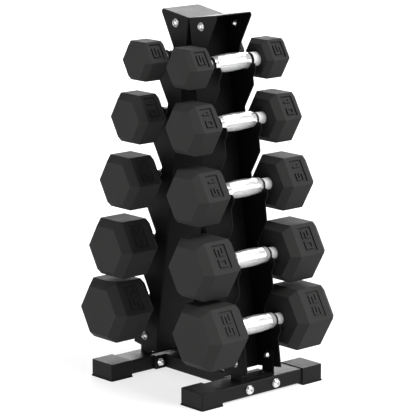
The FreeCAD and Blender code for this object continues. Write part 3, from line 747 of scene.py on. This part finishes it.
class RackSteelSettings(bpy.types.PropertyGroup):
    """Finish of the folded steel and tubes."""

    colour: colour_setting("Coat colour", "Colour of the powder coat", (0.0038, 0.0038, 0.0039, 1))
    roughness: share_setting("Roughness", "How matt the powder coat is", 0.45)
    gloss: share_setting("Sheet gloss", "Strength of the sheen on the sheet steel", 0.09)
    tube_gloss: share_setting("Tube gloss", "Strength of the sheen on the tubes", 0.14)
    peel: length_setting("Orange peel", "Size of the coat's texture", 0.0016)
    peel_depth: length_setting("Peel depth", "Depth of the coat's texture", 0.00005)
    edge_round: length_setting("Edge rounding", "Rounding of the coated edges", 0.0007)
    # The pale edges are partly rubbed coat and partly a painted highlight.
    wear: share_setting("Wear", "How much the edges are rubbed", 0.15)


class RackBootSettings(bpy.types.PropertyGroup):
    """Sizes and finish of the rubber boots."""

    colour: colour_setting("Boot colour", "Colour of the boots", (0.0038, 0.0038, 0.0038, 1))
    roughness: share_setting("Roughness", "How matt the boots are", 0.55)
    gloss: share_setting("Gloss", "Strength of the boots' sheen", 0.16)
    grain: length_setting("Grain", "Size of the moulded grain", 0.0007)
    grain_depth: length_setting("Grain depth", "Depth of the moulded grain", 0.00004)
    cloud: length_setting("Cloud", "Size of the faint patches", 0.02)
    wear: share_setting("Wear", "How much the edges are scuffed", 0.4)
    wear_width: length_setting("Wear width", "How far scuffs reach from an edge", 0.0015)
    lip: length_setting("Lip", "How far the foot lip stands out", 0.0015)
    lip_height: length_setting("Lip height", "Height of the foot lip", 0.002)
    corner: length_setting("Corner", "Radius of the upright corners", 0.003)
    roof_round: length_setting("Roof rounding", "Rounding round the roof", 0.0012)


class RackBoltSettings(bpy.types.PropertyGroup):
    """Sizes and finish of the plated fasteners."""

    zinc: colour_setting("Zinc colour", "Colour of the plating", (0.8, 0.8, 0.81, 1))
    bright: share_setting("Bright roughness", "Roughness of the plating's bright patches", 0.26)
    dull: share_setting("Dull roughness", "Roughness of the plating's dull patches", 0.42)
    edge_round: length_setting("Edge rounding", "Rounding of the plated edges", 0.0004)
    bulge: length_setting("Bulge", "How far the bolts' heads swell past the plain ones", 0.0006)
    small_head: length_setting("Small head", "Head height of the panel bolts", 0.0036)
    small_shank: length_setting("Small shank", "Shank radius of the panel bolts", 0.003)
    small_length: length_setting("Small length", "Shank length of the panel bolts", 0.0117)
    small_nut: length_setting("Small nut", "Height of the panel bolts' cap nuts", 0.0074)
    large_head: length_setting("Large head", "Head height of the base bolts", 0.0046)
    large_shank: length_setting("Large shank", "Shank radius of the base bolts", 0.004)
    large_length: length_setting("Large length", "Shank length of the base bolts", 0.0636)
    large_nut: length_setting("Large nut", "Height of the base bolts' cap nuts", 0.0092)


class RackStudioSettings(bpy.types.PropertyGroup):
    """The camera, floor and lights."""

    azimuth: number_setting("Azimuth", "Camera's turn about the rack in degrees", -41.91)
    elevation: number_setting("Elevation", "Camera's height in degrees", 12.3)
    distance: length_setting("Distance", "Camera's distance from the rack", 4.071)
    aim_height: length_setting("Aim height", "Height that the camera looks at", 0.3032)
    lens: number_setting("Lens", "Focal length in millimetres", 204.9)
    shift: number_setting("Shift", "Sideways shift of the picture", 0.0038)
    floor: colour_setting("Floor colour", "Colour of the floor", (0.35, 0.35, 0.35, 1))
    floor_reach: length_setting("Floor reach", "Radius of the flat floor", 12)
    floor_sweep: length_setting("Floor sweep", "Radius of the sweep up into the backdrop", 1)
    backdrop: length_setting("Backdrop", "Height of the backdrop", 2.8)
    glow: number_setting("Floor glow", "Light that the floor gives off", 0.72)
    sky: number_setting("Sky", "Strength of the even light all round", 0.3)
    sun: number_setting("Key light", "Strength of the wide key light", 4.8)
    sun_width: number_setting("Key width", "Width of the key light in degrees", 40)
    sun_azimuth: number_setting("Key azimuth", "Key light's turn about the rack in degrees", 25)
    sun_elevation: number_setting("Key elevation", "Key light's height in degrees", 50)


# ---- Operators -------------------------------------------------------------------------------------------


def dress(nodes, material):
    """Gives CAD nodes a finish in their own material slots."""
    for name in nodes:
        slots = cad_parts[name].material_slots
        if not slots:
            raise RuntimeError(name + " has no material slot")
        for slot in slots:
            slot.material = material


class RACK_OT_coat_steel(bpy.types.Operator):
    """Powder coat the panels, cap, brackets, tubes and crossbar"""

    bl_idname = "rack.coat_steel"
    bl_label = "Coat the Steel"

    def execute(self, context):
        settings = context.scene.rack_steel
        material = powder_finish("powder coat on sheet steel", settings, settings.gloss)
        sheet_pieces = ["front_panel", "rear_panel", "top_cap", "front_foot_bracket", "rear_foot_bracket"]
        dress(sheet_pieces + ["bracket_screws"], material)
        material = powder_finish("powder coat on tube", settings, settings.tube_gloss)
        dress(["front_base_tube", "rear_base_tube", "crossbar", "crossbar_end_plates"], material)
        return {"FINISHED"}


class RACK_OT_plate_fasteners(bpy.types.Operator):
    """Zinc plate the washers and rivet nuts, and make the domed bolts and their cap nuts"""

    bl_idname = "rack.plate_fasteners"
    bl_label = "Plate the Fasteners"

    def execute(self, context):
        settings = context.scene.rack_bolts
        material = zinc_finish("bright zinc plating", settings)
        kinds = ("cap", "foot", "base")
        dress([kind + "_washers" for kind in kinds] + ["rivet_nuts"], material)
        for kind, axis_name, size in zip(kinds, ("x", "x", "y"), ("small", "small", "large")):
            head, shank, length, nut = (getattr(settings, size + part)
                                        for part in ("_head", "_shank", "_length", "_nut"))
            bulge = settings.bulge
            node = kind + "_bolts"
            low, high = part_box(node)
            radius = (high.z - low.z) / 2
            mesh = bmesh.new()
            for top, outward in fastener_seats(node, axis_name, radius, 1):
                turn_bolt(mesh, top + outward * bulge, outward, radius + bulge, head + bulge, shank, length)
            new_piece(kind + "_socket_bolts", mesh, material, "rack", [node])
            node = kind + "_nuts"
            low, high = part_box(node)
            flats = (high.z - low.z) / 2
            mesh = bmesh.new()
            for seat, inward in fastener_seats(node, axis_name, flats * 2 / math.sqrt(3), -1):
                turn_cap_nut(mesh, seat, inward, flats, nut)
            new_piece(kind + "_cap_nuts", mesh, material, "rack", [node])
        return {"FINISHED"}


class RACK_OT_mould_boots(bpy.types.Operator):
    """Make the four slip-on rubber boots of the base"""

    bl_idname = "rack.mould_boots"
    bl_label = "Mould the Boots"

    def execute(self, context):
        settings = context.scene.rack_boots
        material = rubber_finish("boot rubber", settings)
        for side in SIDES:
            for hand_name, hand in (("left", -1), ("right", 1)):
                node = "%s_%s_boot" % (side, hand_name)
                mesh = bmesh.new()
                mould_boot(mesh, node, hand, settings)
                new_piece(node + "_shell", mesh, material, "rack", [node])
        return {"FINISHED"}


class RACK_OT_mould_heads(bpy.types.Operator):
    """Make the bevelled rubber heads of the ten dumbbells, with their number panels"""

    bl_idname = "rack.mould_heads"
    bl_label = "Mould the Heads"

    def execute(self, context):
        settings = context.scene.rack_heads
        material = rubber_finish("head rubber", settings)
        iron = iron_finish("cast iron")
        for stem in STEMS:
            radius, axis, stations = head_stations(stem + "_heads")
            collar = collar_radius(stem + "_handle", axis, stations[0])
            coat = coat_thickness(stem)
            number = stem.split("_")[1][:-2]
            mesh = bmesh.new()
            for hand in (-1, 1):
                mould_head(mesh, radius, axis, stations, collar, coat, hand, number, settings)
            new_piece(stem + "_rubber", mesh, material, stem + "_dumbbell",
                      [stem + "_heads"])
            dress([stem + "_cores"], iron)
        return {"FINISHED"}


class RACK_OT_turn_handles(bpy.types.Operator):
    """Turn the ten chromed handles, knurled round the middle of the grip"""

    bl_idname = "rack.turn_handles"
    bl_label = "Turn the Handles"

    def execute(self, context):
        settings = context.scene.rack_handles
        material = chrome_finish("knurled chrome", settings)
        for stem in STEMS:
            _, axis, stations = head_stations(stem + "_heads")
            collar = collar_radius(stem + "_handle", axis, stations[0])
            end = stations[0] + HUB_DEPTH + COLLAR_HOLE_DEPTH * HANDLE_REACH
            mesh = bmesh.new()
            turn_handle(mesh, axis, turned_profile(settings, collar, end))
            new_piece(stem + "_grip", mesh, material, stem + "_dumbbell", [stem + "_handle"])
        return {"FINISHED"}


class RACK_OT_set_studio(bpy.types.Operator):
    """Set the floor, the soft lights and the camera"""

    bl_idname = "rack.set_studio"
    bl_label = "Set the Studio"

    def execute(self, context):
        settings = context.scene.rack_studio
        lay_floor(settings)
        hang_lights(settings)
        set_camera(settings)
        context.scene.view_settings.view_transform = "Standard"
        return {"FINISHED"}


def lay_floor(settings):
    """A wide pale floor that sweeps up into a low backdrop all round."""
    mesh = bmesh.new()
    reach, sweep, wall = settings.floor_reach, settings.floor_sweep, settings.backdrop
    steps = [(reach * share, 0.0) for share in (0.1, 0.3, 0.6)]
    for step in range(9):
        turn = math.radians(11.25 * step)
        steps.append((reach + sweep * math.sin(turn), sweep * (1 - math.cos(turn))))
    steps.append((reach + sweep, wall))
    rings = [circle(UPWARD * height, RIGHT, REARWARD, radius, FLOOR_SIDES) for radius, height in steps]
    loops = join_rings(mesh, rings, closed=False)
    mesh.faces.new(loops[0])
    data = bpy.data.meshes.new("studio floor")
    bmesh.ops.recalc_face_normals(mesh, faces=mesh.faces[:])
    mesh.to_mesh(data)
    mesh.free()
    data.shade_smooth()
    floor = bpy.data.objects.new("studio_floor", data)
    floor.location.z = -FLOOR_DROP
    bpy.context.scene.collection.objects.link(floor)
    finish = Finish("pale floor", Specular_IOR_Level=0.1, Emission_Strength=settings.glow)
    patch = finish.noise(0.8, 3.0, 0.5)
    rise = finish.spread(finish.node("ShaderNodeSeparateXYZ", None, {0: finish.place}, "Z"), 0.02, 0.5)
    white = (1, 1, 1, 1)
    finish.drive("Emission Color", finish.blend(rise, white, shade(white, BACKDROP_GLOW)))
    finish.drive("Base Color", finish.blend(patch, shade(settings.floor, 0.99), settings.floor))
    finish.drive("Roughness", finish.spread(patch, 0.3, 0.7, 0.85, 0.95))
    data.materials.append(finish.material)


def hang_lights(settings):
    """An even sky and large soft lights."""
    world = bpy.data.worlds.new("Studio sky")
    world.use_nodes = True
    sky = world.node_tree.nodes["Background"]
    sky.inputs["Color"].default_value = (1, 1, 1, 1)
    sky.inputs["Strength"].default_value = settings.sky
    bpy.context.scene.world = world
    aim = Vector((0, 0, settings.aim_height))
    lamp = bpy.data.lights.new("key light", "SUN")
    lamp.energy = settings.sun
    lamp.angle = math.radians(settings.sun_width)
    light = bpy.data.objects.new("key light", lamp)
    place_looking(light, settings.sun_azimuth, settings.sun_elevation, settings.distance, aim)
    bpy.context.scene.collection.objects.link(light)
    for name, azimuth, elevation, distance, size, energy in STUDIO_LIGHTS:
        lamp = bpy.data.lights.new(name, "AREA")
        lamp.shape = "DISK"
        lamp.size = size
        lamp.energy = energy
        light = bpy.data.objects.new(name, lamp)
        place_looking(light, azimuth, elevation, distance, aim)
        bpy.context.scene.collection.objects.link(light)


def place_looking(thing, azimuth, elevation, distance, aim):
    """Puts a light or camera at an angle round the aim, looking at it. Azimuth 0 looks along +Y."""
    turn, rise = math.radians(azimuth), math.radians(elevation)
    back = Vector((math.sin(turn) * math.cos(rise), -math.cos(turn) * math.cos(rise), math.sin(rise)))
    thing.location = aim + back * distance
    thing.rotation_euler = back.to_track_quat("Z", "Y").to_euler()


def set_camera(settings):
    """The camera, aimed at the middle of the rack."""
    data = bpy.data.cameras.new("rack camera")
    data.lens = settings.lens
    data.sensor_width = 36
    data.shift_x = settings.shift
    data.clip_end = 200
    camera = bpy.data.objects.new("rack camera", data)
    aim = Vector((0, 0, settings.aim_height))
    place_looking(camera, settings.azimuth, settings.elevation, settings.distance, aim)
    bpy.context.scene.collection.objects.link(camera)
    bpy.context.scene.camera = camera


class RACK_PT_sidebar(bpy.types.Panel):
    """Lists the rack's pieces and their settings"""

    bl_idname = "RACK_PT_sidebar"
    bl_label = "Dumbbell Rack"
    bl_space_type = "VIEW_3D"
    bl_region_type = "UI"
    bl_category = "Rack"

    def draw(self, context):
        for operator, group in STEPS:
            box = self.layout.box()
            box.operator(operator.bl_idname)
            settings = getattr(context.scene, group)
            for name in settings.__annotations__:
                box.prop(settings, name)


STEPS = (
    (RACK_OT_coat_steel, "rack_steel"),
    (RACK_OT_plate_fasteners, "rack_bolts"),
    (RACK_OT_mould_boots, "rack_boots"),
    (RACK_OT_mould_heads, "rack_heads"),
    (RACK_OT_turn_handles, "rack_handles"),
    (RACK_OT_set_studio, "rack_studio"),
)
GROUPS = {
    "rack_steel": RackSteelSettings, "rack_bolts": RackBoltSettings, "rack_boots": RackBootSettings,
    "rack_heads": RackHeadSettings, "rack_handles": RackHandleSettings, "rack_studio": RackStudioSettings,
}


def register():
    for name, group in GROUPS.items():
        bpy.utils.register_class(group)
        setattr(bpy.types.Scene, name, bpy.props.PointerProperty(type=group))
    for operator, _ in STEPS:
        bpy.utils.register_class(operator)
    bpy.utils.register_class(RACK_PT_sidebar)


def unregister():
    bpy.utils.unregister_class(RACK_PT_sidebar)
    for operator, _ in reversed(STEPS):
        bpy.utils.unregister_class(operator)
    for name, group in GROUPS.items():
        delattr(bpy.types.Scene, name)
        bpy.utils.unregister_class(group)


def main():
    register()
    for operator, _ in STEPS:
        group, name = operator.bl_idname.split(".")
        getattr(getattr(bpy.ops, group), name)()


if __name__ == "__main__":
    main()
